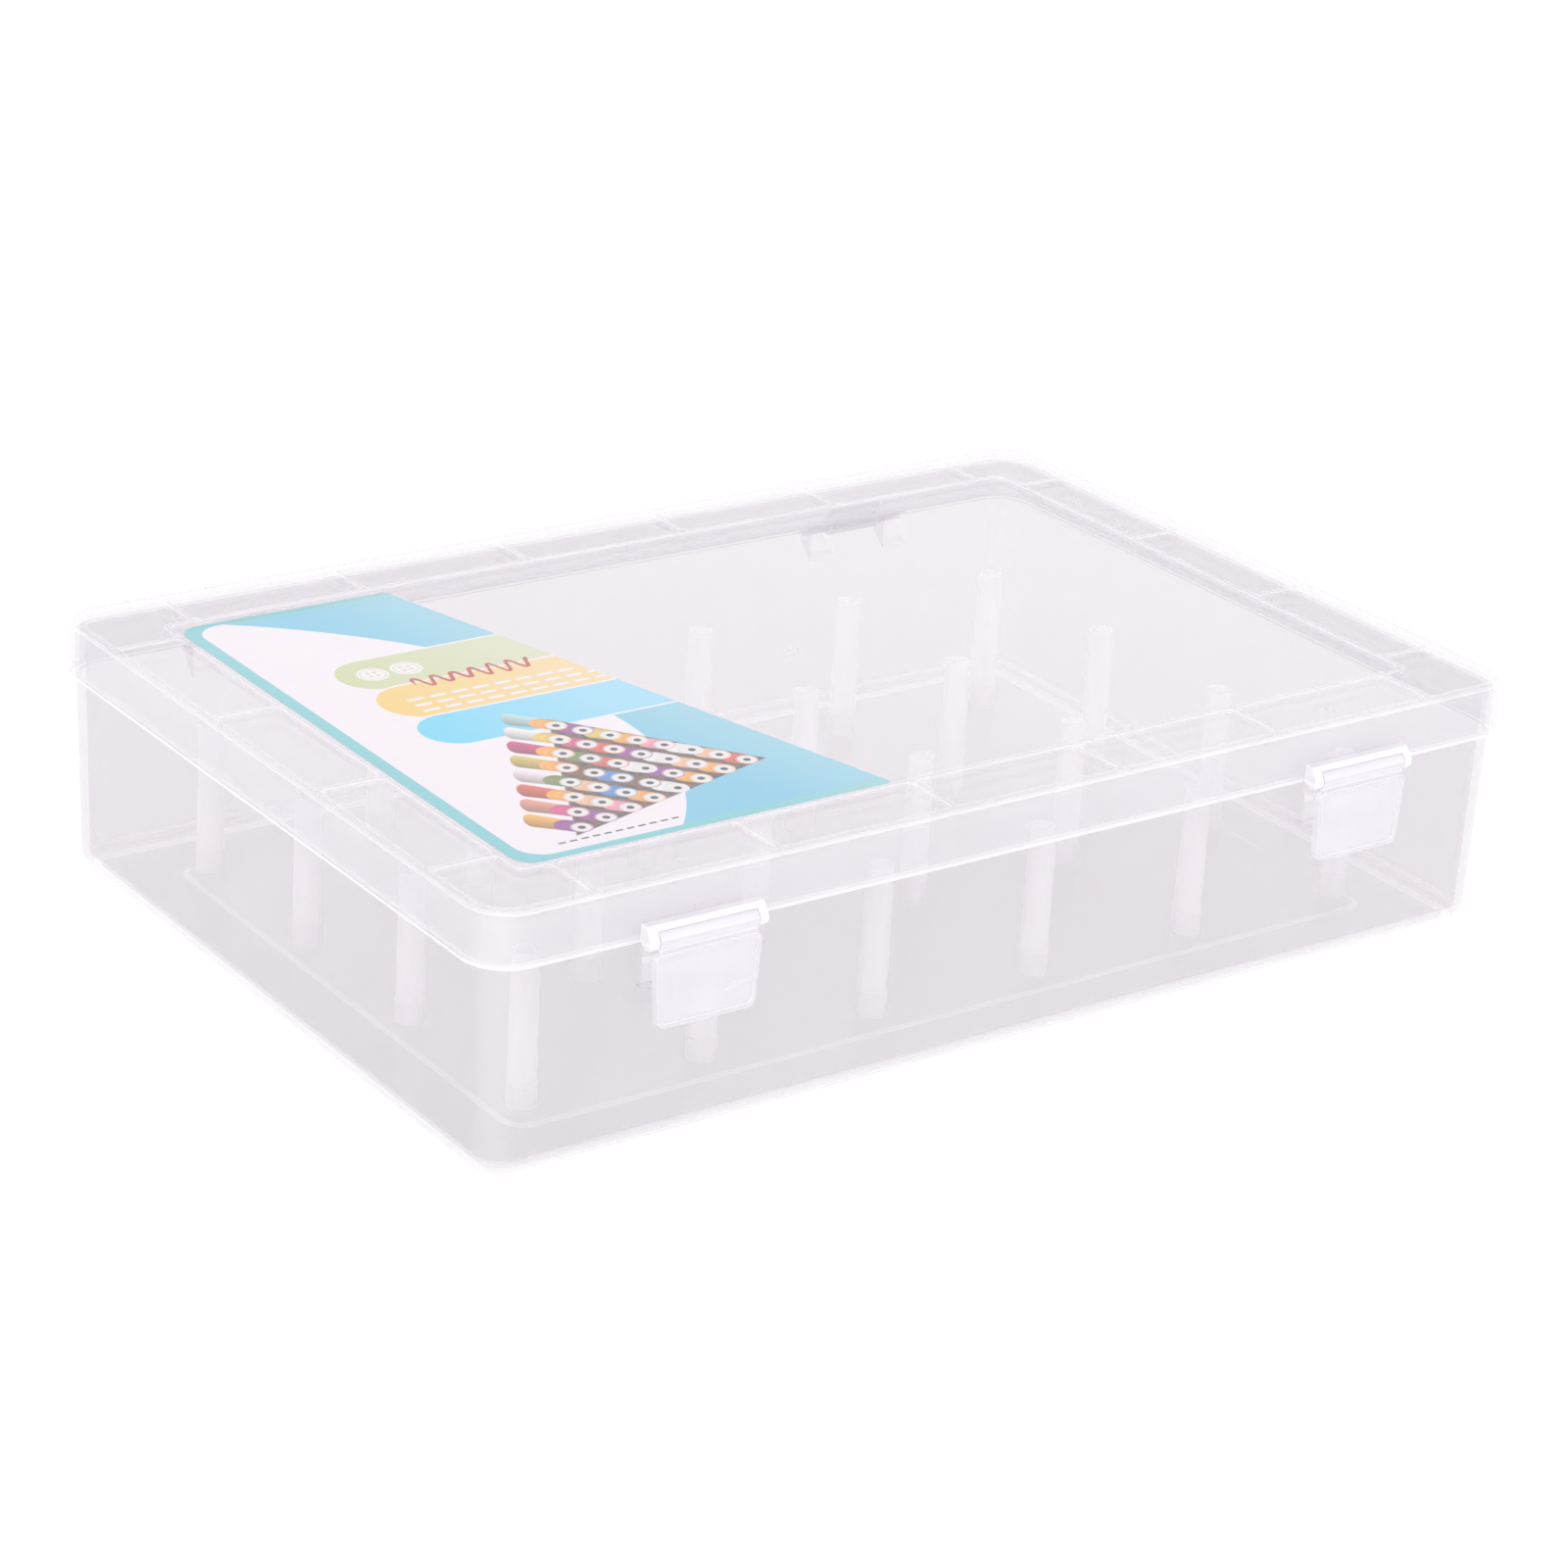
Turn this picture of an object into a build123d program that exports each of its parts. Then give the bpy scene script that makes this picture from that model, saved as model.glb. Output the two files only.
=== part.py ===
from build123d import *
import os
from math import atan, degrees

os.makedirs("parts", exist_ok=True)

# A clear storage box for bobbins: base tray with 24 pegs, hinged lid, two front latches.
# Millimetres. X runs along the length, -Y is the front, Z is up.
# The origin is at the bottom, in the middle of the whole object.

# ---- driving dimensions ----
box_width = 260.0           # lid outside, along X
box_depth = 178.0           # lid outside, along Y, without latches and hinges
box_height = 57.0
lid_corner = 9.5            # corner radius of the lid in plan
least_corner = 2.5          # and of the smallest outline inside it
skirt_height = 12.0         # lid wall that hangs over the base
skirt_wall = 1.4
peg_columns, peg_rows = 6, 4
peg_pitch_x, peg_pitch_y = 42.2, 42.5
running_gap = 0.3           # between mouldings that pass each other

# ---- base tray ----
wall_inset_top = 1.55       # base wall inside the lid's outer face, just under the lid
wall_inset_foot = 2.5       # the same at the floor: the wall has draft
inner_inset_top = 3.5       # inside face of the wall
inner_inset_floor = 4.2
rim_inset = 2.3             # outer face of the thin rim that stands inside the lid
floor_thickness = 2.0
foot_round = 4.5            # rounding under the tray's outside edge
floor_round = 2.0           # rounding inside, where the wall meets the floor
recess_inset = 20.2         # shallow recess under the tray, which leaves a ring to stand on
recess_depth = 0.6
recess_corner = 4.0
recess_slope = 1.2          # width of its sloping border
wall_bite = 1.0             # how far catch blocks and gussets are rooted in the tray's wall

# ---- lid top ----
ridge_height = 1.1          # rim, frame ridge and ribs stand this far over the panel
panel_thickness = 1.4
rim_width = 2.6
frame_inset = 16.7          # outer edge of the frame ridge round the central panel
ridge_width = 1.4
pocket_corner = 1.2
ridge_round = 0.35
top_round = 1.0             # on the lid's outside edge
skirt_round = 0.4           # under the skirt
gate_radius, gate_height = 1.9, 0.35        # moulding gate mark in the middle of the lid
pip_radius, pip_height = 1.1, 0.2           # ejector marks above the latches
pip_inset = 8.5

# ---- pegs ----
peg_top = 35.5              # height of a peg's rim over the table
peg_radius_foot, peg_radius_tip = 3.02, 2.75
peg_bore = 1.9
collar_radius, collar_height = 3.15, 5.2
collar_chamfer, tip_round = 0.13, 0.3
stub_height = 5.0           # the tray's stub that a peg is pushed over
stub_gap = 0.02

# ---- latches, measured outward from the lid's front face ----
latch_offset = 83.0         # latches and hinges, from the middle
axis_out = 2.1
barrel_radius = 1.8
latch_axis_z = 45.9
trunnion_radius = 0.9
fit_gap = 0.06              # radial gap of a running fit
housing_width = 27.0
lug_width = 2.0
lug_top_z = 49.0
hood_reach, hood_thickness = 2.2, 1.0
lug_cover = 0.6             # closed outer end of the trunnion's hole
housing_root_height, housing_round = 3.3, 0.35
skirt_bite = 0.7            # how far a housing or knuckle is rooted in the lid's wall
plate_inner, plate_outer = 2.1, 3.5
border_height, border_width, border_round = 0.4, 1.1, 0.17
plate_top_z, plate_bottom_z = 43.5, 27.8
plate_top_width, plate_bottom_width = 24.4, 22.2
plate_top_corner, plate_bottom_corner = 0.6, 1.8
hook_z, hook_height, hook_reach, hook_width = 33.6, 1.4, 0.95, 19.0
hook_root = 0.3             # how far the hook is rooted in the plate
catch_width = 26.0
catch_bottom_z, catch_full_z, catch_top_z = 35.6, 40.8, 44.2
catch_out = 0.6             # furthest face of the catch block
catch_lead = 1.5            # how far the block's top slopes back
catch_edge = 0.4

# ---- rear hinges, measured outward from the lid's rear face ----
hinge_axis_z = 43.0
pin_radius, pin_chamfer = 1.0, 0.2
base_knuckle_width, lid_knuckle_width = 7.0, 14.0
gusset_bottom_z = 36.6
knuckle_root_top_z = 48.5

# ---- label on the lid's panel ----
label_thickness = 0.15
label_left = 19.3           # from the lid's left face
label_front, label_back = 19.6, 159.0      # from the lid's front face
label_right_front, label_right_back = 106.5, 70.5
label_corner, label_sharp_corner = 5.0, 1.0

# ---- values worked out from them ----
lid_bottom = box_height - skirt_height
panel_z = box_height - ridge_height
ceiling_z = panel_z - panel_thickness
shoulder_z = lid_bottom - running_gap
rim_top = ceiling_z - running_gap
left_x, front_y, rear_y = -box_width / 2, -box_depth / 2, box_depth / 2
latch_axis_y = front_y - axis_out
hinge_axis_y = rear_y + axis_out
wall_front_y = front_y + wall_inset_top
wall_rear_y = rear_y - wall_inset_top
stations = (-latch_offset, latch_offset)
barrel_length = housing_width - 2 * lug_width - 2 * running_gap
knuckle_spacing = lid_knuckle_width / 2 + running_gap + base_knuckle_width / 2
pin_length = 2 * (knuckle_spacing + base_knuckle_width / 2)


def plan(inset, mode=Mode.ADD):
    """Rounded rectangle that runs this far inside the lid's outside faces."""
    corner = max(lid_corner - inset, least_corner)
    RectangleRounded(box_width - 2 * inset, box_depth - 2 * inset, corner, mode=mode)


def draft(near, far, height):
    """Taper angle, negative where the wall opens outward as it rises."""
    return -degrees(atan((near - far) / height))


# ---- base tray ----
outer_draft = draft(wall_inset_foot, wall_inset_top, shoulder_z)
cavity_height = rim_top - floor_thickness
inner_draft = draft(inner_inset_floor, inner_inset_top, cavity_height)

with BuildPart() as base_tray:
    with BuildSketch(Plane.XY):
        plan(wall_inset_foot)
    extrude(amount=shoulder_z, taper=outer_draft)
    fillet(base_tray.edges().group_by(Axis.Z)[0], foot_round)
    with BuildSketch(Plane.XY.offset(shoulder_z)):
        plan(rim_inset)
    extrude(amount=rim_top - shoulder_z)
    for x in stations:
        # catch block on the front wall, with a sloping top for the latch to ride over
        with BuildSketch(Plane.YZ.offset(x)):
            with BuildLine():
                Polyline(
                    (wall_front_y + wall_bite, catch_bottom_z),
                    (front_y - catch_out + catch_edge, catch_bottom_z),
                    (front_y - catch_out, catch_bottom_z + catch_edge),
                    (front_y - catch_out, catch_full_z),
                    (front_y - catch_out + catch_lead, catch_top_z),
                    (wall_front_y + wall_bite, catch_top_z),
                    close=True,
                )
            make_face()
        extrude(amount=catch_width / 2, both=True)
        # two rear knuckles, each on its gusset
        for side in (-1, 1):
            with BuildSketch(Plane.YZ.offset(x + side * knuckle_spacing)):
                with Locations((hinge_axis_y, hinge_axis_z)):
                    Circle(barrel_radius)
                with Locations((wall_rear_y, (gusset_bottom_z + shoulder_z) / 2)):
                    Rectangle(
                        wall_bite, shoulder_z - gusset_bottom_z, align=(Align.MAX, Align.CENTER)
                    )
                make_hull()
            extrude(amount=base_knuckle_width / 2, both=True)
    with BuildSketch(Plane.XY.offset(floor_thickness)):
        plan(inner_inset_floor)
    extrude(amount=cavity_height, taper=inner_draft, mode=Mode.SUBTRACT)
    floor_face = base_tray.faces().filter_by(Axis.Z).filter_by_position(
        Axis.Z, floor_thickness - 0.1, floor_thickness + 0.1
    )
    fillet(floor_face.edges(), floor_round)
    with BuildSketch(Plane.XY):
        recess_edge = recess_inset - recess_slope
        RectangleRounded(
            box_width - 2 * recess_edge, box_depth - 2 * recess_edge, recess_corner + recess_slope
        )
    extrude(amount=recess_depth, taper=degrees(atan(recess_slope / recess_depth)), mode=Mode.SUBTRACT)
    with BuildSketch(Plane.XY.offset(floor_thickness)):
        with GridLocations(peg_pitch_x, peg_pitch_y, peg_columns, peg_rows):
            Circle(peg_bore - stub_gap)
    extrude(amount=stub_height)
    for x in stations:
        with BuildSketch(Plane.YZ.offset(x)):
            with Locations((hinge_axis_y, hinge_axis_z)):
                Circle(pin_radius)
        extrude(amount=pin_length, both=True, mode=Mode.SUBTRACT)

def make_housing(x):
    """Latch housing: a hood over two lugs, each with a blind hole for a trunnion."""
    with BuildPart() as housing:
        with BuildSketch(Plane.YZ.offset(x)):
            with Locations((latch_axis_y, latch_axis_z)):
                Circle(barrel_radius)
            with Locations((front_y - hood_reach + hood_thickness / 2, lug_top_z - hood_thickness / 2)):
                Circle(hood_thickness / 2)
            with Locations((front_y + skirt_bite, lug_top_z)):
                Rectangle(skirt_bite, housing_root_height, align=(Align.MAX, Align.MAX))
            make_hull()
        extrude(amount=housing_width / 2, both=True)
        for end in (0, -1):
            fillet(housing.faces().sort_by(Axis.X)[end].edges(), housing_round)
        with BuildSketch(Plane.YZ.offset(x)):
            with Locations((front_y, lug_top_z - hood_thickness)):
                Rectangle(axis_out + 2 * barrel_radius, box_height, align=(Align.MAX, Align.MAX))
        extrude(amount=housing_width / 2 - lug_width, both=True, mode=Mode.SUBTRACT)
        with BuildSketch(Plane.YZ.offset(x)):
            with Locations((latch_axis_y, latch_axis_z)):
                Circle(trunnion_radius + fit_gap)
        extrude(amount=housing_width / 2 - lug_cover, both=True, mode=Mode.SUBTRACT)
    return housing.part


# ---- lid ----
with BuildPart() as lid:
    with BuildSketch(Plane.XY.offset(lid_bottom)):
        plan(0)
    extrude(amount=skirt_height)
    fillet(lid.edges().group_by(Axis.Z)[0], skirt_round)
    fillet(lid.edges().group_by(Axis.Z)[-1], top_round)
    # pockets between the rim, the frame ridge and the cross ribs
    with BuildSketch(Plane.XY.offset(panel_z)) as pockets:
        plan(rim_width)
        plan(frame_inset, mode=Mode.SUBTRACT)
        with GridLocations(peg_pitch_x, 1, peg_columns, 1):
            Rectangle(ridge_width, box_depth, mode=Mode.SUBTRACT)
        with GridLocations(1, peg_pitch_y, 1, peg_rows):
            Rectangle(box_width, ridge_width, mode=Mode.SUBTRACT)
        half = ridge_width / 2
        rib_sides_x = [(c - (peg_columns - 1) / 2) * peg_pitch_x + s * half
                       for c in range(peg_columns) for s in (-1, 1)]
        rib_sides_y = [(r - (peg_rows - 1) / 2) * peg_pitch_y + s * half
                       for r in range(peg_rows) for s in (-1, 1)]
        sharp = pockets.vertices().filter_by(
            lambda v: min(abs(v.X - x) for x in rib_sides_x) < 0.01
            or min(abs(v.Y - y) for y in rib_sides_y) < 0.01
        )
        fillet(sharp, pocket_corner)
    extrude(amount=ridge_height, mode=Mode.SUBTRACT)
    # central panel inside the frame ridge
    with BuildSketch(Plane.XY.offset(panel_z)):
        plan(frame_inset + ridge_width)
    extrude(amount=ridge_height, mode=Mode.SUBTRACT)
    top_faces = lid.faces().filter_by(Axis.Z).filter_by_position(
        Axis.Z, box_height - 0.01, box_height + 0.01
    )
    inner_edges = [wire for face in top_faces for wire in face.inner_wires()]
    fillet([edge for wire in inner_edges for edge in wire.edges()], ridge_round)
    # marks left by the mould: the gate in the middle, ejectors above the latches
    with BuildSketch(Plane.XY.offset(panel_z)):
        Circle(gate_radius)
        Circle(gate_radius / 2, mode=Mode.SUBTRACT)
    extrude(amount=gate_height)
    with BuildSketch(Plane.XY.offset(panel_z)):
        for x in stations:
            with Locations((x, front_y + pip_inset)):
                Circle(pip_radius)
    extrude(amount=pip_height)
    # hollow under the top
    with BuildSketch(Plane.XY.offset(lid_bottom)):
        plan(skirt_wall)
    extrude(amount=ceiling_z - lid_bottom, mode=Mode.SUBTRACT)
    for x in stations:
        add(make_housing(x))
        # rear knuckle, which turns on the hinge pin
        with BuildSketch(Plane.YZ.offset(x)):
            with Locations((hinge_axis_y, hinge_axis_z)):
                Circle(barrel_radius)
            with Locations((rear_y - skirt_bite, lid_bottom)):
                Rectangle(
                    skirt_bite, knuckle_root_top_z - lid_bottom, align=(Align.MIN, Align.MIN)
                )
            make_hull()
            with Locations((hinge_axis_y, hinge_axis_z)):
                Circle(pin_radius + fit_gap, mode=Mode.SUBTRACT)
        extrude(amount=lid_knuckle_width / 2, both=True)


def make_latch(x):
    """Snap latch: barrel with trunnions, framed plate, and a hook along its inner face."""
    with BuildPart() as latch:
        with BuildSketch(Plane.YZ.offset(x)):
            with Locations((latch_axis_y, latch_axis_z)):
                Circle(barrel_radius)
        extrude(amount=barrel_length / 2, both=True)
        with BuildSketch(Plane.YZ.offset(x)):
            with Locations((latch_axis_y, latch_axis_z)):
                Circle(trunnion_radius)
        extrude(amount=housing_width / 2 - lug_cover - running_gap, both=True)
        # neck from the barrel down to the plate
        with BuildSketch(Plane.XZ.offset(plate_inner - front_y)):
            with Locations((x, latch_axis_z)):
                Rectangle(
                    barrel_length,
                    latch_axis_z - plate_top_z + plate_top_corner,
                    align=(Align.CENTER, Align.MAX),
                )
        extrude(amount=plate_outer - plate_inner)
        # plate with a raised border round its edge
        with BuildSketch(Plane.XZ.offset(plate_inner - front_y)) as outline:
            with BuildLine():
                Polyline(
                    (x - plate_top_width / 2, plate_top_z),
                    (x + plate_top_width / 2, plate_top_z),
                    (x + plate_bottom_width / 2, plate_bottom_z),
                    (x - plate_bottom_width / 2, plate_bottom_z),
                    close=True,
                )
            make_face()
            fillet(outline.vertices().group_by(Axis.Z)[0], plate_bottom_corner)
            fillet(outline.vertices().group_by(Axis.Z)[-1], plate_top_corner)
        extrude(amount=plate_outer - plate_inner + border_height)
        with BuildSketch(Plane.XZ.offset(plate_outer - front_y)):
            add(outline.sketch_local)
            offset(amount=-border_width, mode=Mode.REPLACE)
        extrude(amount=border_height, mode=Mode.SUBTRACT)
        # hook
        with BuildSketch(Plane.YZ.offset(x)):
            with BuildLine():
                Polyline(
                    (front_y - plate_inner - hook_root, hook_z),
                    (front_y - plate_inner + hook_reach, hook_z + hook_height / 2),
                    (front_y - plate_inner + hook_reach, hook_z + hook_height),
                    (front_y - plate_inner - hook_root, hook_z + hook_height),
                    close=True,
                )
            make_face()
        extrude(amount=hook_width / 2, both=True)
        border_front = latch.faces().sort_by(Axis.Y)[0]
        fillet(border_front.edges(), border_round)
    return latch.part


def make_hinge_pin(x):
    """Plain pin, pressed into the base's two knuckles."""
    with BuildPart() as pin:
        with BuildSketch(Plane.YZ.offset(x)):
            with Locations((hinge_axis_y, hinge_axis_z)):
                Circle(pin_radius)
        extrude(amount=pin_length / 2, both=True)
        chamfer(pin.edges(), pin_chamfer)
    return pin.part


def make_peg(x, y):
    """Hollow tapered post with a collar, pushed over a stub on the floor."""
    collar_z = floor_thickness + collar_height
    with BuildPart() as peg:
        with BuildSketch(Plane.XZ) as profile:
            with BuildLine():
                Polyline(
                    (peg_bore, floor_thickness),
                    (collar_radius, floor_thickness),
                    (collar_radius, collar_z - collar_chamfer),
                    (peg_radius_foot, collar_z),
                    (peg_radius_tip, peg_top),
                    (peg_bore, peg_top),
                    close=True,
                )
            make_face()
        revolve(axis=Axis.Z)
        fillet(peg.edges().group_by(Axis.Z)[-1].sort_by(SortBy.RADIUS)[-1], tip_round)
    return Pos(x, y, 0) * peg.part


# ---- label: two rounded corners on the left, a slanting edge on the right ----
with BuildPart() as label:
    with BuildSketch(Plane.XY.offset(panel_z)) as card:
        with BuildLine():
            Polyline(
                (left_x + label_left, front_y + label_front),
                (left_x + label_right_front, front_y + label_front),
                (left_x + label_right_back, front_y + label_back),
                (left_x + label_left, front_y + label_back),
                close=True,
            )
        make_face()
        fillet(card.vertices().group_by(Axis.X)[0], label_corner)
        slant = card.vertices().sort_by(Axis.X)[-1]
        fillet(slant, label_sharp_corner)
    extrude(amount=label_thickness)

# ---- every piece under its own name ----
pieces = {"base_tray": base_tray.part, "lid": lid.part, "label": label.part}
for side, x in zip(("left", "right"), stations):
    pieces[f"latch_{side}"] = make_latch(x)
    pieces[f"hinge_pin_{side}"] = make_hinge_pin(x)
for row in range(peg_rows):
    for column in range(peg_columns):
        x = (column - (peg_columns - 1) / 2) * peg_pitch_x
        y = (row - (peg_rows - 1) / 2) * peg_pitch_y
        pieces[f"peg_r{row + 1}_c{column + 1}"] = make_peg(x, y)

for name, piece in pieces.items():
    piece.label = name
    export_step(piece, f"parts/{name}.step")
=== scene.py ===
import math
from functools import reduce

import bmesh
import bpy
from mathutils import Matrix, Vector


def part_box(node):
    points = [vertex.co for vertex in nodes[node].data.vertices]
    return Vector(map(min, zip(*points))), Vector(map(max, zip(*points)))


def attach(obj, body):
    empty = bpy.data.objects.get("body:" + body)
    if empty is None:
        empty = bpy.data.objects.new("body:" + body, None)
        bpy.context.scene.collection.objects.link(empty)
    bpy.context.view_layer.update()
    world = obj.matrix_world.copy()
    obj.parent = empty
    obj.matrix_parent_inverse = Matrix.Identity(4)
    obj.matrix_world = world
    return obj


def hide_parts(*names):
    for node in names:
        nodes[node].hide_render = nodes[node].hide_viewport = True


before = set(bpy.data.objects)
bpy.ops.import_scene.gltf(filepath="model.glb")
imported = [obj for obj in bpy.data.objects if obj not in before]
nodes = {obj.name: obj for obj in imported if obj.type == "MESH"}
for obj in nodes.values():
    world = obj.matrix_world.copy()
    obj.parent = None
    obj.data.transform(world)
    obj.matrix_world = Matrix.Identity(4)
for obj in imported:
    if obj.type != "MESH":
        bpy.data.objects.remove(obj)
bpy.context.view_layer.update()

card_low, card_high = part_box("label")
LID_LEFT, LID_FRONT = -0.130, -0.089            # the lid's side faces, in metres
MILLIMETRES = 1000.0


# ---- node graphs -----------------------------------------------------------------------------

class Graph:
    """One material's node tree, with short calls for the nodes used below."""

    def __init__(self, name):
        self.material = bpy.data.materials.new(name)
        self.material.use_nodes = True
        self.tree = self.material.node_tree
        self.tree.nodes.clear()
        self.out = self.tree.nodes.new("ShaderNodeOutputMaterial")

    def add(self, kind, inputs=None, **properties):
        node = self.tree.nodes.new("ShaderNode" + kind)
        for key, value in properties.items():
            setattr(node, key, value)
        for key, value in (inputs or {}).items():
            self.put(node.inputs[key], value)
        return node

    def put(self, socket, value):
        if isinstance(value, bpy.types.NodeSocket):
            self.tree.links.new(value, socket)
        else:
            socket.default_value = value

    def math(self, operation, *values):
        node = self.add("Math", operation=operation)
        for socket, value in zip(node.inputs, values):
            self.put(socket, value)
        return node.outputs[0]

    def sum(self, *values):
        return reduce(lambda total, value: self.math("ADD", total, value), values)

    def sub(self, a, b):
        return self.math("SUBTRACT", a, b)

    def mul(self, a, b):
        return self.math("MULTIPLY", a, b)

    def size(self, value):
        return self.math("ABSOLUTE", value)

    def length(self, a, b):
        return self.math("SQRT", self.sum(self.mul(a, a), self.mul(b, b)))

    def both(self, *masks):
        """1 where every mask is 1."""
        return reduce(self.mul, masks)

    def less(self, a, b):
        return self.math("LESS_THAN", a, b)

    def more(self, a, b):
        return self.math("GREATER_THAN", a, b)

    def within(self, value, low, high):
        return self.both(self.more(value, low), self.less(value, high))

    def flip(self, mask):
        return self.sub(1.0, mask)

    def linear(self, value, low, high, to_low=0.0, to_high=1.0, smooth=False):
        node = self.add("MapRange", interpolation_type="SMOOTHSTEP" if smooth else "LINEAR")
        for key, number in enumerate((value, low, high, to_low, to_high)):
            self.put(node.inputs[key], number)
        return node.outputs[0]

    def mix(self, share, a, b, blend="MIX"):
        """Colour a with a share of colour b."""
        return self.add("Mix", {0: share, 6: a, 7: b}, data_type="RGBA", blend_type=blend).outputs[2]

    def shade(self, light, colour):
        """A colour multiplied by a grey light."""
        grey = self.add("CombineXYZ", {0: light, 1: light, 2: light}).outputs[0]
        return self.mix(1.0, colour, grey, "MULTIPLY")

    def blend(self, share, a, b):
        """Shader a with a share of shader b."""
        return self.add("MixShader", {0: share, 1: a, 2: b}).outputs[0]

    def split(self, vector):
        return self.add("SeparateXYZ", {0: vector}).outputs

    def noise(self, scale, detail=2.0, rough=0.5, stretch=None, where=None):
        where = where or self.place()
        if stretch is not None:
            where = self.add("Mapping", {"Vector": where, "Scale": stretch}).outputs[0]
        inputs = {"Vector": where, "Scale": scale, "Detail": detail, "Roughness": rough}
        return self.add("TexNoise", inputs).outputs[0]

    def place(self):
        """Where the shaded point is on its object, in metres."""
        return self.add("TexCoord").outputs["Object"]

    def bump(self, height, strength, distance, normal=None):
        inputs = {"Height": height, "Strength": strength, "Distance": distance}
        if normal is not None:
            inputs["Normal"] = normal
        return self.add("Bump", inputs).outputs[0]

    def finish(self, surface):
        self.tree.links.new(surface, self.out.inputs["Surface"])
        return self.material


PRINT_LEVEL = 0.7                   # printed ink under this studio's light


def ink(*display):
    """A printed colour, from display values of 0 to 255."""
    def linear(v):
        v /= 255
        return v / 12.92 if v <= 0.04045 else ((v + 0.055) / 1.055) ** 2.4
    return tuple(linear(v) * PRINT_LEVEL for v in display) + (1.0,)


# ---- materials -------------------------------------------------------------------------------

STAND_OUT = -LID_FRONT + 0.0001     # farther forward or back than this is a hinge, catch or hood
UNTINTED = (0.99, 0.985, 0.99, 1.0)
MOST_HAZE = 0.96                    # however milky, some light gets by
SHEEN_AHEAD = 0.03                  # share of light mirrored by a face seen straight on


def clear_plastic(name, tone, haze, edge, corner, side, raised, through, through_side, back_share, rough,
                  outside=0.0, bright=(0.0, 0.0), sheen=0.5):
    """Milky moulded polypropylene: each face lets most light by, scatters some, mirrors a little.

    tone is the colour of scattered light; haze is its share, and back_share is the part of it that
    comes through from behind. through and through_side are the light let by at level and upright
    faces. rough is how blurred the mirrored light is, and sheen how strong it is at a grazing angle.
    Light gathers in rounded edges, raised ribs and free rims, so they show whiter than flat walls:
    edge, corner, side, raised and outside are what those add to haze. raised is (low, high, amount)
    in millimetres of height; outside is for what stands out from the lid's front and rear faces.
    Between the two heights of bright the plastic is clean and lets nearly all light by.
    """
    g = Graph(name)
    coords = g.add("TexCoord").outputs
    place, normal = coords["Object"], coords["Normal"]
    nx, ny, nz = (g.size(v) for v in g.split(normal))
    _, py, pz = g.split(place)
    height = g.mul(pz, MILLIMETRES)
    # slope is 0 on a level face and 1 on an upright one; rounded is 1 halfway between the two, as on
    # a rounded edge, and turned is 1 halfway round a box corner
    slope = g.math("SQRT", g.sub(1.0001, g.mul(nz, nz)))
    rounded = g.linear(g.mul(g.mul(nz, slope), 2.0), 0.15, 0.95, smooth=True)
    turned = g.linear(g.mul(g.mul(nx, ny), 2.0), 0.1, 1.0, smooth=True)
    upright = g.linear(slope, 0.8, 0.98, smooth=True)
    apart = g.more(g.size(py), STAND_OUT)
    clean = g.within(height, *bright)

    # moulding grain: wide clouds, streaks along the flow, a fine mottle and scuffs
    cloud = g.noise(22.0, 3.0, 0.55, where=place)
    flow = g.noise(60.0, 4.0, 0.6, stretch=(1.0, 0.16, 0.5), where=place)
    mottle = g.noise(900.0, 2.0, 0.5, where=place)
    scuff = g.noise(140.0, 6.0, 0.7, stretch=(0.3, 1.0, 1.0), where=place)
    drift = g.linear(g.sum(cloud, g.mul(flow, 0.5)), 0.45, 1.05, 0.86, 1.16)
    shine = g.linear(g.sum(scuff, g.mul(cloud, 0.4)), 0.4, 1.0, rough * 0.75, rough * 1.5)
    swell = g.bump(cloud, 0.04, 0.002)
    grain = g.bump(mottle, 0.03, 0.00003, swell)

    # share of light that scatters
    amount = g.sum(haze, g.mul(upright, side), g.mul(turned, corner))
    for low, high, extra in raised:
        amount = g.sum(amount, g.mul(g.within(height, low, high), extra))
    amount = g.sum(amount, g.mul(apart, outside))
    amount = g.sum(g.mul(amount, drift), g.mul(rounded, edge))
    amount = g.mul(g.math("MINIMUM", amount, MOST_HAZE), g.flip(clean))

    warm = tuple(min(1.0, c * k) for c, k in zip(tone, (1.01, 0.992, 1.0))) + (1.0,)
    colour = g.mix(g.linear(cloud, 0.35, 0.65), tone + (1.0,), warm)
    front = g.add("BsdfDiffuse", {"Color": colour, "Normal": swell}).outputs[0]
    back = g.add("BsdfTranslucent", {"Color": colour, "Normal": swell}).outputs[0]
    pane = g.mix(upright, through + (1.0,), through_side + (1.0,))
    pane = g.mix(g.math("MAXIMUM", apart, clean), pane, UNTINTED)
    clear = g.add("BsdfTransparent", {"Color": pane}).outputs[0]
    body = g.blend(amount, clear, g.blend(back_share, front, back))
    facing = g.add("LayerWeight", {"Blend": 0.5, "Normal": grain}).outputs["Facing"]
    mirror = g.linear(g.math("POWER", facing, 6.0), 0.0, 1.0, SHEEN_AHEAD, sheen)
    gloss = g.add("BsdfGlossy", {"Color": (1, 1, 1, 1), "Roughness": shine, "Normal": grain}).outputs[0]
    return g.finish(g.blend(mirror, body, gloss))


# ---- printed label ---------------------------------------------------------------------------
# Everything on the card is placed in millimetres from the lid's left and front faces.

CARD_LEFT, CARD_FRONT, CARD_BACK = 19.3, 19.6, 159.0
CARD_RIGHT_FRONT, CARD_RIGHT_BACK = 106.5, 70.5     # ends of the slanting right edge
FAR_RIGHT = 160.0                   # past the card's right edge
BAR_RIGHT = 200.0                   # the bars run off the card

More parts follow.
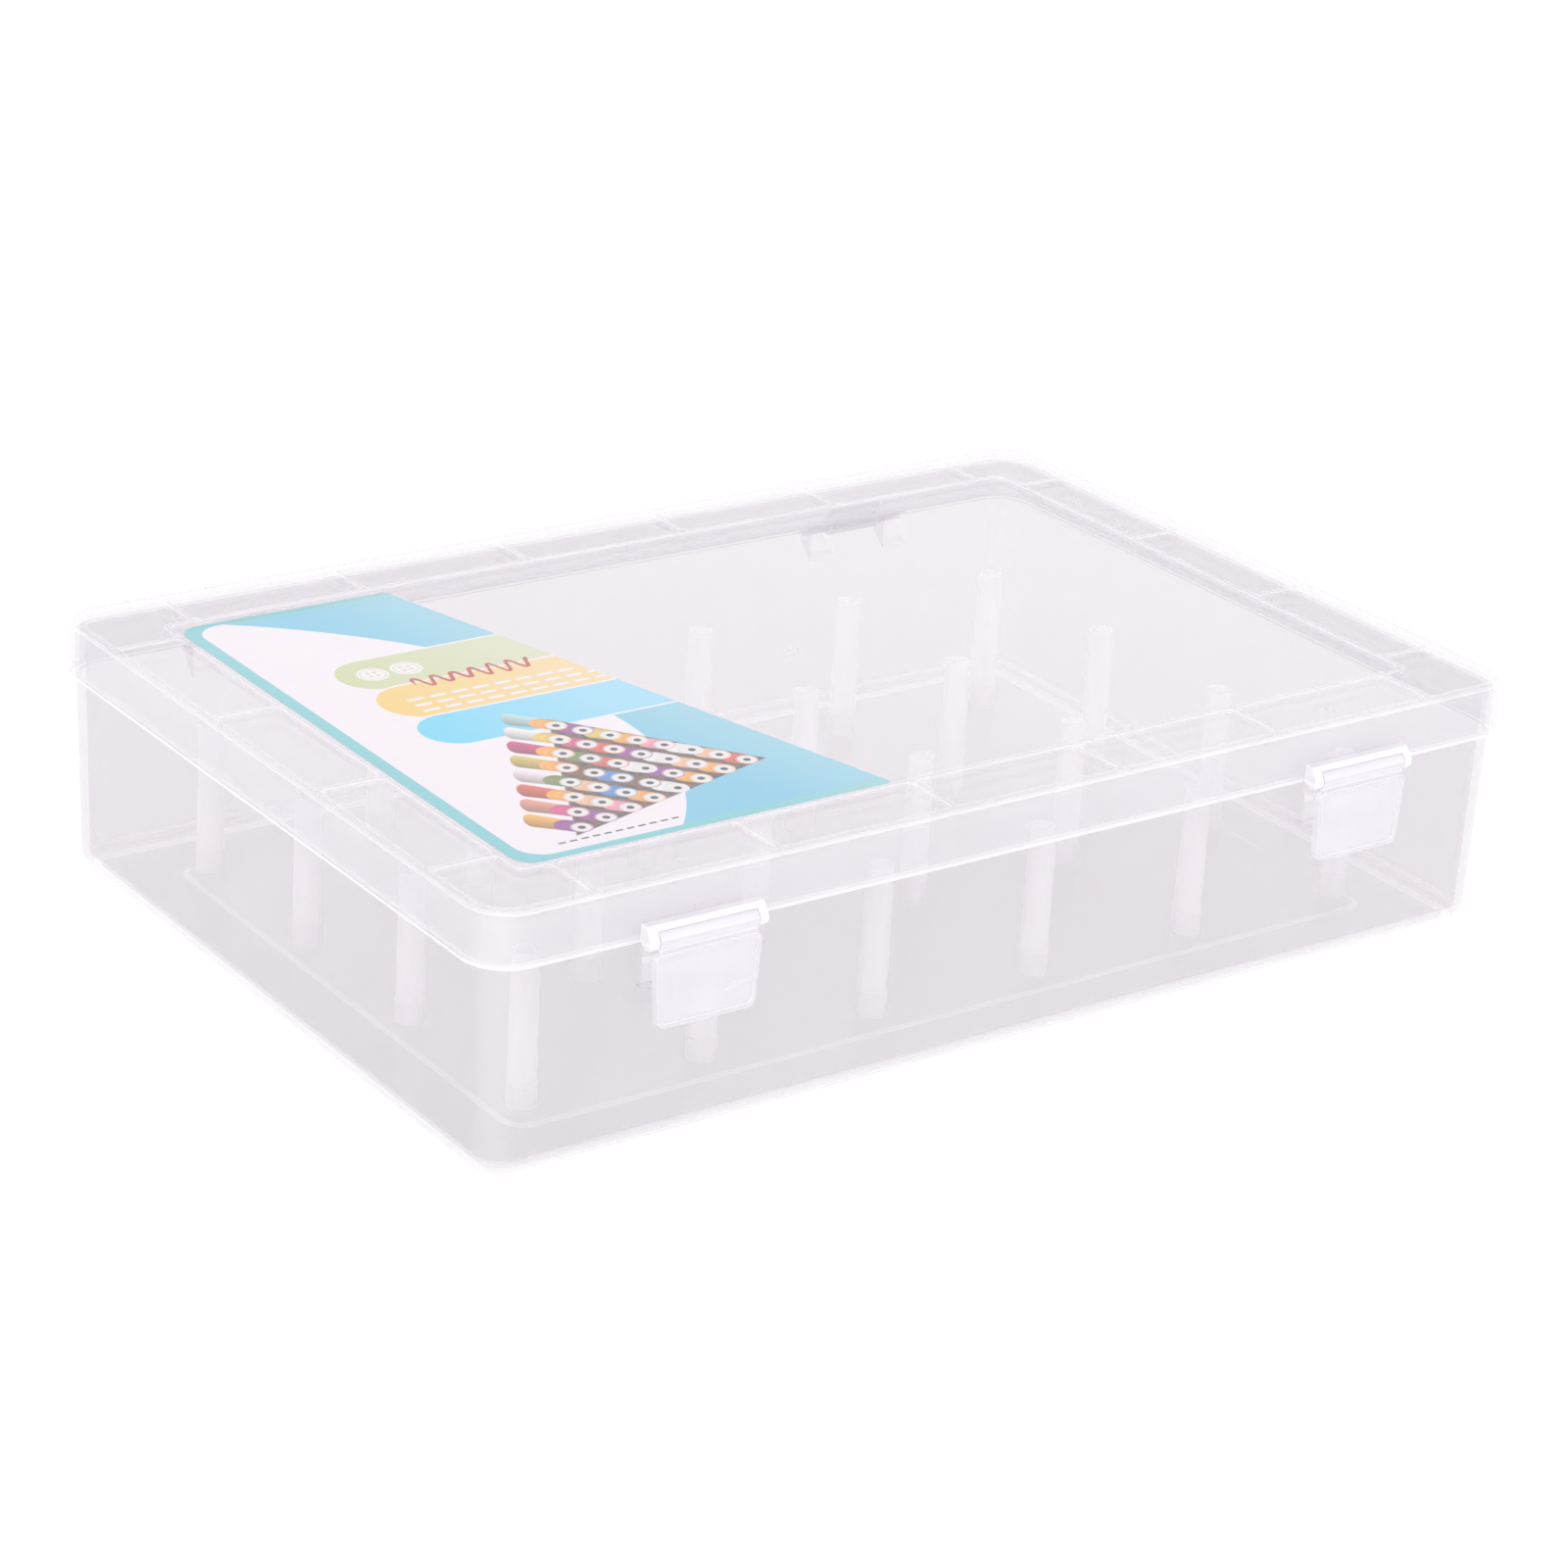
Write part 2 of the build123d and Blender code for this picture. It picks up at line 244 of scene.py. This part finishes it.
WHITE = ink(255, 246, 255)
TEAL = ink(126, 210, 220)
AQUA = ink(120, 205, 238)
GREEN = ink(214, 222, 168)
ORANGE = ink(255, 213, 104)
BLUE = ink(88, 218, 255)
RED = ink(196, 30, 42)
DARK = ink(58, 46, 60)
PAPER = ink(246, 240, 242)

PILE_START = (62.5, 76.1)           # front end of the pile's first cone
ROW_STEP = (-3.33, -6.61)           # to the next cone down the pile's left side
COLUMN_STEP = (3.5, -4.72)          # to the next cone to the right
CONE_REACH = (-7.8, 8.3)            # from a cone's front end to its back end
CONE_END = 0.86                     # share of that reach where the round back end starts
PILE_ROWS = 8
SHOULDER_RADIUS, WINDING_RADIUS, RIM_RADIUS, BORE_RADIUS = 2.6, 2.35, 1.95, 0.8
THREADS = [
    (214, 60, 130), (232, 196, 84), (240, 236, 240), (222, 84, 60), (120, 134, 62),
    (150, 52, 150), (246, 168, 66), (240, 150, 180), (60, 140, 214), (128, 70, 50),
    (44, 96, 78), (240, 186, 150),
]
LEFT_THREADS = [
    (190, 220, 224), (246, 242, 244), (206, 44, 118), (222, 192, 84),
    (246, 226, 236), (226, 92, 60), (232, 150, 128), (246, 178, 66),
]


def solve(g, x, y, origin, first, second):
    """The two numbers a, b for which the point is origin + a * first + b * second."""
    det = first[0] * second[1] - first[1] * second[0]
    dx, dy = g.sub(x, origin[0]), g.sub(y, origin[1])
    a = g.sum(g.mul(dx, second[1] / det), g.mul(dy, -second[0] / det))
    b = g.sum(g.mul(dx, -first[1] / det), g.mul(dy, first[0] / det))
    return a, b


def palette(g, value, colours):
    """One of the colours, picked by a value of 0 to 1."""
    ramp = g.add("ValToRGB", {0: value})
    ramp.color_ramp.interpolation = "CONSTANT"
    elements = ramp.color_ramp.elements
    while len(elements) < len(colours):
        elements.new(1.0)
    for k, colour in enumerate(colours):
        elements[k].position = k / len(colours)
    for k, colour in enumerate(colours):
        elements[k].color = ink(*colour)
    return ramp.outputs[0]


def soft(g, distance, width=0.12):
    """1 where the signed distance, in millimetres, is below nought, with a thin soft edge."""
    return g.linear(distance, -width / 2, width / 2, 1.0, 0.0)


def circle(g, x, y, cx, cy, radius):
    """Signed distance to a circle."""
    return g.sub(g.length(g.sub(x, cx), g.sub(y, cy)), radius)


def rounded_box(g, x, y, left, front, right, back, radius):
    """Signed distance to a rectangle with round corners."""
    cx, cy = (left + right) / 2, (front + back) / 2
    hx, hy = (right - left) / 2 - radius, (back - front) / 2 - radius
    qx, qy = g.sub(g.size(g.sub(x, cx)), hx), g.sub(g.size(g.sub(y, cy)), hy)
    outside = g.length(g.math("MAXIMUM", qx, 0.0), g.math("MAXIMUM", qy, 0.0))
    inside = g.math("MINIMUM", g.math("MAXIMUM", qx, qy), 0.0)
    return g.sub(g.sum(outside, inside), radius)


def cone_sides(g, x, y, colour):
    """The wound sides of the cones along the pile's left edge, drawn over colour."""
    a, t = solve(g, x, y, PILE_START, ROW_STEP, CONE_REACH)
    row = g.math("ROUND", a)
    length = math.hypot(*CONE_REACH)
    spacing = abs(ROW_STEP[0] * CONE_REACH[1] - ROW_STEP[1] * CONE_REACH[0]) / length
    off = g.mul(g.sub(a, row), spacing)
    half_width = g.linear(t, 0.0, 1.0, 2.3, 3.0)
    past_end = g.mul(g.sub(g.math("MAXIMUM", t, CONE_END), CONE_END), length * 1.6)
    body = soft(g, g.sub(g.length(off, past_end), half_width), 0.2)
    body = g.both(body, g.more(t, 0.0), g.more(row, -0.5), g.less(row, PILE_ROWS - 0.5), g.less(t, 1.3))
    tint = palette(g, g.math("DIVIDE", g.sum(row, 0.5), PILE_ROWS), LEFT_THREADS)
    side = g.math("DIVIDE", off, 3.0)
    wound = g.math("SINE", g.mul(g.sum(t, g.mul(side, 0.16)), 95.0))
    light = g.mul(g.linear(side, -1.0, 1.0, 1.25, 0.42), g.linear(wound, -1.0, 1.0, 0.86, 1.06))
    return g.mix(body, colour, g.shade(light, tint))


def cone_faces(g, x, y, colour):
    """The pile's face, drawn over colour: gaps, then each cone's two shoulders, rim and bore."""
    a, b = solve(g, x, y, PILE_START, ROW_STEP, COLUMN_STEP)
    face = g.both(
        g.linear(a, -0.42, -0.34), g.linear(b, -0.30, -0.22),
        g.linear(g.sum(a, b), PILE_ROWS - 0.66, PILE_ROWS - 0.58, 1.0, 0.0),
    )
    speck = g.noise(700.0, 2.0, 0.6)
    colour = g.mix(face, colour, g.mix(g.linear(speck, 0.4, 0.6), DARK, ink(120, 84, 70)))
    for shift in (0.26, 0.13, 0.0):
        start = (PILE_START[0] + shift * CONE_REACH[0], PILE_START[1] + shift * CONE_REACH[1])
        a, b = solve(g, x, y, start, ROW_STEP, COLUMN_STEP)
        i, j = g.math("ROUND", a), g.math("ROUND", b)
        fi, fj = g.sub(a, i), g.sub(b, j)
        dx = g.sum(g.mul(fi, ROW_STEP[0]), g.mul(fj, COLUMN_STEP[0]))
        dy = g.sum(g.mul(fi, ROW_STEP[1]), g.mul(fj, COLUMN_STEP[1]))
        away = g.length(dx, dy)
        here = g.both(g.more(i, -0.5), g.more(j, -0.5), g.less(g.sum(i, j), PILE_ROWS - 0.5))
        cell = g.add("CombineXYZ", {0: i, 1: j, 2: 3.0}).outputs[0]
        pick = g.add("TexWhiteNoise", {"Vector": cell}, noise_dimensions="3D").outputs["Value"]
        thread = palette(g, pick, THREADS)
        if shift:
            lit = g.shade(g.linear(g.sub(dy, dx), -3.2, 3.2, 0.5, 1.2), thread)
            rings = ((SHOULDER_RADIUS, lit),)
        else:
            winding = g.mix(0.35, thread, WHITE)
            rings = ((WINDING_RADIUS, winding), (RIM_RADIUS, PAPER), (BORE_RADIUS, DARK))
        for radius, tint in rings:
            colour = g.mix(g.both(here, soft(g, g.sub(away, radius), 0.2)), colour, tint)
    return colour


def label_print():
    """The card's printed film: coloured fields, plain sewing marks and a pile of thread cones."""
    g = Graph("label_print")
    px, py, _ = g.split(g.place())
    x = g.linear(px, LID_LEFT, LID_LEFT + 1.0, 0.0, MILLIMETRES)
    y = g.linear(py, LID_FRONT, LID_FRONT + 1.0, 0.0, MILLIMETRES)
    for socket in (x, y):
        socket.node.clamp = False

    # teal border, aqua field that pales toward the right
    inner_left = CARD_LEFT + 3.1
    field = rounded_box(g, x, y, inner_left, CARD_FRONT + 2.8, FAR_RIGHT, CARD_BACK - 3.0, 4.5)
    colour = g.mix(soft(g, field), TEAL, AQUA)
    fade = g.linear(g.sum(x, g.mul(y, 0.26)), 85.0, 112.0, smooth=True)
    colour = g.mix(g.mul(fade, 0.35), colour, ink(196, 232, 236))
    # white field between two long arcs
    upper = circle(g, x, y, -45.6, 49.0, 132.0)
    lower = circle(g, x, y, 0.0, 72.0, 76.2)
    top_part = g.more(y, 100.0)
    arc = g.sum(g.mul(upper, top_part), g.mul(lower, g.flip(top_part)))
    edge = rounded_box(g, x, y, inner_left, CARD_FRONT + 2.2, FAR_RIGHT, CARD_BACK - 1.6, 6.0)
    colour = g.mix(soft(g, g.math("MAXIMUM", arc, edge)), colour, WHITE)
    # three bars with round ends, each with a thin white outline
    bars = ((109.4, 125.6, 35.6, GREEN), (92.0, 109.4, 36.0, ORANGE), (76.2, 92.0, 35.8, BLUE))
    for front, back, left, tint in bars:
        bar = rounded_box(g, x, y, left, front, BAR_RIGHT, back, (back - front) / 2 - 0.05)
        colour = g.mix(soft(g, g.sub(bar, 0.7)), colour, WHITE)
        wash = g.linear(x, left, left + 45.0, 0.0, 0.28)
        colour = g.mix(soft(g, bar), colour, g.mix(wash, tint, WHITE))

    # two plain four-hole buttons on the first bar
    cy = 117.6
    for cx in (43.6, 51.6):
        button = circle(g, x, y, cx, cy, 3.5)
        ring = g.sub(g.size(g.sum(button, 0.75)), 0.22)
        colour = g.mix(soft(g, button), colour, WHITE)
        colour = g.mix(g.mul(soft(g, ring), 0.55), colour, GREEN)
        hx, hy = g.size(g.sub(x, cx)), g.size(g.sub(y, cy))
        colour = g.mix(soft(g, circle(g, hx, hy, 0.85, 0.85, 0.48)), colour, GREEN)
    # a looping red thread across the first two bars
    thread_start, thread_stop, wave = 48.5, 77.4, 4.6
    run = g.mul(g.sub(x, thread_start), 2 * math.pi / wave)
    swing = g.mul(g.math("SINE", run), g.linear(g.noise(90.0, 0.0), 0.3, 0.7, 1.7, 2.6))
    steep = g.length(1.0, g.mul(g.math("COSINE", run), 2.6))
    strand = g.math("DIVIDE", g.size(g.sub(y, g.sum(109.3, swing))), steep)
    span = g.within(x, thread_start, thread_stop)
    colour = g.mix(g.both(soft(g, g.sub(strand, 0.52)), span), colour, RED)
    # rows of white running stitches on the second bar, and a grey row under the pile
    for row_y, start, stop, pitch, half, thick, tint in (
        (101.6, 42.0, 84.0, 5.2, 1.9, 0.55, WHITE),
        (98.4, 42.0, 86.0, 5.2, 1.9, 0.55, WHITE),
        (95.2, 42.0, 87.0, 5.2, 1.9, 0.55, WHITE),
        (25.2, 30.5, 58.5, 2.6, 0.85, 0.32, ink(96, 92, 100)),
    ):
        along = g.math("PINGPONG", g.sub(x, start + pitch / 2), pitch / 2)
        dash = g.sub(g.size(g.sub(y, row_y)), thick)
        stitch = g.math("MAXIMUM", dash, g.sub(along, half))
        colour = g.mix(g.both(soft(g, stitch), g.within(x, start, stop)), colour, tint)
    colour = cone_faces(g, x, y, cone_sides(g, x, y, colour))

    # ink varies a little; the cut edge of the card is plain white
    press = g.noise(260.0, 5.0, 0.65)
    colour = g.mix(g.linear(press, 0.3, 0.8, 0.0, 0.12), colour, WHITE)
    up = g.split(g.add("TexCoord").outputs["Normal"])[2]
    colour = g.mix(g.more(up, 0.5), ink(244, 242, 244), colour)
    ripple = g.noise(35.0, 2.0, 0.5)
    fibre = g.noise(1500.0, 3.0, 0.6)
    shader = g.add("BsdfPrincipled", {
        "Base Color": colour,
        "Roughness": g.linear(press, 0.3, 0.7, 0.3, 0.42),
        "Coat Weight": 0.25,
        "Coat Roughness": 0.12,
        "Normal": g.bump(fibre, 0.06, 0.00005, g.bump(ripple, 0.15, 0.0012)),
    })
    return g.finish(shader.outputs[0])


def card_outline():
    """The card's corners in metres, anticlockwise, with three of them rounded."""
    left, right_front, right_back = (
        LID_LEFT + x / MILLIMETRES for x in (CARD_LEFT, CARD_RIGHT_FRONT, CARD_RIGHT_BACK))
    front, back = (LID_FRONT + y / MILLIMETRES for y in (CARD_FRONT, CARD_BACK))
    corners = [
        (Vector((left, front)), 0.005), (Vector((right_front, front)), 0.001),
        (Vector((right_back, back)), 0.0), (Vector((left, back)), 0.005),
    ]
    points = []
    for k, (corner, radius) in enumerate(corners):
        if radius == 0:
            points.append(corner)
            continue
        before = (corners[k - 1][0] - corner).normalized()
        after = (corners[(k + 1) % len(corners)][0] - corner).normalized()
        half = before.angle(after) / 2
        centre = corner + (before + after).normalized() * radius / math.sin(half)
        start = corner + before * radius / math.tan(half) - centre
        stop = corner + after * radius / math.tan(half) - centre
        turn = start.angle_signed(stop)
        steps = 10 if radius > 0.002 else 5
        for s in range(steps + 1):
            points.append(centre + Matrix.Rotation(-turn * s / steps, 2) @ start)
    return points


def build_card():
    """A thin card with a softened top edge, lying on the lid's panel inside the CAD label."""
    gap = 0.000002                  # kept inside the CAD label's top and bottom
    low, high = card_low[2] + gap, card_high[2] - gap
    mesh = bpy.data.meshes.new("label_card")
    bm = bmesh.new()
    points = card_outline()
    centre = sum(points, Vector((0, 0))) / len(points)
    loops = []
    rounding = ((high - 0.00004, 0.00001), (high - 0.00001, 0.00003), (high, 0.00008))
    for z, inset in ((low, 0.00001), *rounding):
        loops.append([bm.verts.new((*(p + (centre - p).normalized() * inset), z)) for p in points])
    count = len(points)
    for lower, upper in zip(loops, loops[1:]):
        for k in range(count):
            n = (k + 1) % count
            bm.faces.new((lower[k], lower[n], upper[n], upper[k]))
    bm.faces.new(loops[-1])
    bm.faces.new(list(reversed(loops[0])))
    bm.normal_update()
    bmesh.ops.recalc_face_normals(bm, faces=bm.faces)
    bm.to_mesh(mesh)
    bm.free()
    card = bpy.data.objects.new("label_card", mesh)
    bpy.context.scene.collection.objects.link(card)
    card.data.materials.append(label_print())
    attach(card, "lid")
    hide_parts("label")
    return card


# ---- dress the CAD pieces --------------------------------------------------------------------

def dress(name, material):
    """The material on every slot of a CAD piece."""
    for slot in nodes[name].material_slots:
        slot.material = material


tray_plastic = clear_plastic(
    "tray_polypropylene", (0.955, 0.935, 0.96), haze=0.12, edge=0.25, corner=0.08, side=-0.07,
    raised=(), through=(0.918, 0.91, 0.92), through_side=(0.922, 0.912, 0.924), back_share=0.3,
    rough=0.16, outside=0.1, bright=(0.02, 0.58),
)
lid_plastic = clear_plastic(
    "lid_polypropylene", (0.938, 0.931, 0.948), haze=0.08, edge=0.28, corner=0.06, side=0.13,
    raised=((45.0, 45.9, 0.45), (56.3, 57.2, 0.05)), through=(0.926, 0.918, 0.926),
    through_side=(0.95, 0.946, 0.955), back_share=0.3, rough=0.18, outside=0.5,
)
latch_plastic = clear_plastic(
    "latch_polypropylene", (0.85, 0.838, 0.87), haze=0.4, edge=0.5, corner=0.2, side=0.0,
    raised=((44.0, 49.0, 0.35),), through=(0.965, 0.96, 0.967), through_side=(0.95, 0.945, 0.955),
    back_share=0.3, rough=0.2,
)
peg_plastic = clear_plastic(
    "peg_polypropylene", (1.0, 1.0, 1.0), haze=1.1, edge=0.02, corner=0.0, side=0.0,
    raised=(), through=(0.99, 0.985, 0.99), through_side=(0.99, 0.985, 0.99), back_share=0.6, rough=0.3,
    sheen=0.05,
)
for name in nodes:
    if name.startswith("peg_"):
        dress(name, peg_plastic)
    elif name.startswith(("latch_", "hinge_pin_")):
        dress(name, latch_plastic)
dress("base_tray", tray_plastic)
dress("lid", lid_plastic)
# the box under the card stays as light as if the card let the light by
build_card().visible_shadow = False


# ---- stage, light and camera -----------------------------------------------------------------

FLOOR_GLOW = 0.86


def build_floor():
    """A plain pale floor that also glows, so that it stays white under the box."""
    g = Graph("stage_floor")
    grain = g.noise(40.0, 4.0, 0.6)
    colour = g.mix(g.linear(grain, 0.3, 0.7), (0.145, 0.145, 0.145, 1), (0.155, 0.155, 0.155, 1))
    shader = g.add("BsdfPrincipled", {
        "Base Color": colour, "Roughness": 0.8, "Specular IOR Level": 0.2,
        "Emission Color": (1, 1, 1, 1), "Emission Strength": FLOOR_GLOW,
    })
    mesh = bpy.data.meshes.new("stage_floor")
    half = 6.0
    corners = [(-half, -half, 0), (half, -half, 0), (half, half, 0), (-half, half, 0)]
    mesh.from_pydata(corners, [], [(0, 1, 2, 3)])
    floor = bpy.data.objects.new("stage_floor", mesh)
    floor.location.z = -0.0002      # just under the tray's foot
    floor.data.materials.append(g.finish(shader.outputs[0]))
    bpy.context.scene.collection.objects.link(floor)


def area_light(name, place, size, power):
    """A rectangular light at a place, turned to the middle of the floor."""
    data = bpy.data.lights.new(name, "AREA")
    data.shape = "RECTANGLE"
    data.size, data.size_y = size
    data.energy = power
    lamp = bpy.data.objects.new(name, data)
    lamp.location = place
    lamp.rotation_euler = (-Vector(place)).to_track_quat("-Z", "Y").to_euler()
    bpy.context.scene.collection.objects.link(lamp)


def build_world(horizon, overhead):
    """A white studio whose light goes from one strength at the horizon to another overhead."""
    world = bpy.data.worlds.new("studio")
    bpy.context.scene.world = world
    world.use_nodes = True
    tree = world.node_tree
    parts = tree.nodes.new("ShaderNodeSeparateXYZ")
    tree.links.new(tree.nodes.new("ShaderNodeTexCoord").outputs["Generated"], parts.inputs[0])
    level = tree.nodes.new("ShaderNodeMapRange")
    for socket, value in zip(list(level.inputs)[1:5], (0.0, 1.0, horizon, overhead)):
        socket.default_value = value
    tree.links.new(parts.outputs["Z"], level.inputs[0])
    background = tree.nodes["Background"]
    background.inputs["Color"].default_value = (1.0, 1.0, 1.0, 1)
    tree.links.new(level.outputs[0], background.inputs["Strength"])


def build_camera():
    """A view from 36.4 degrees left of the front and 22.5 degrees up, with a slight roll."""
    azimuth, elevation, roll = -0.63464, 0.39356, 0.05864       # radians
    target, distance = Vector((0, 0, 0.0285)), 0.92464
    right = Vector((math.cos(azimuth), math.sin(azimuth), 0))
    level_back = Vector((math.sin(azimuth), -math.cos(azimuth), 0))
    back = level_back * math.cos(elevation) + Vector((0, 0, math.sin(elevation)))
    up = back.cross(right)
    right, up = (right * math.cos(roll) + up * math.sin(roll), up * math.cos(roll) - right * math.sin(roll))
    data = bpy.data.cameras.new("camera")
    data.sensor_width, data.lens = 36.0, 97.83675               # millimetres
    data.shift_x, data.shift_y = 0.0005, -0.0096
    data.clip_start, data.clip_end = 0.01, 50
    camera = bpy.data.objects.new("camera", data)
    rotation = Matrix((right, up, back)).transposed().to_4x4()
    camera.matrix_world = Matrix.Translation(target + back * distance) @ rotation
    bpy.context.scene.collection.objects.link(camera)
    bpy.context.scene.camera = camera


build_floor()
build_world(2.1, 0.57)
area_light("key", (-0.9, -1.2, 1.0), (1.6, 1.2), 6.0)
area_light("top", (0.2, 0.2, 1.7), (1.6, 1.6), 2.0)
build_camera()

scene = bpy.context.scene
scene.view_settings.view_transform = "Standard"
scene.view_settings.look = "None"
scene.cycles.transparent_max_bounces = 48
scene.cycles.max_bounces = 10
scene.cycles.diffuse_bounces = 6
scene.cycles.glossy_bounces = 4
scene.cycles.use_denoising = True
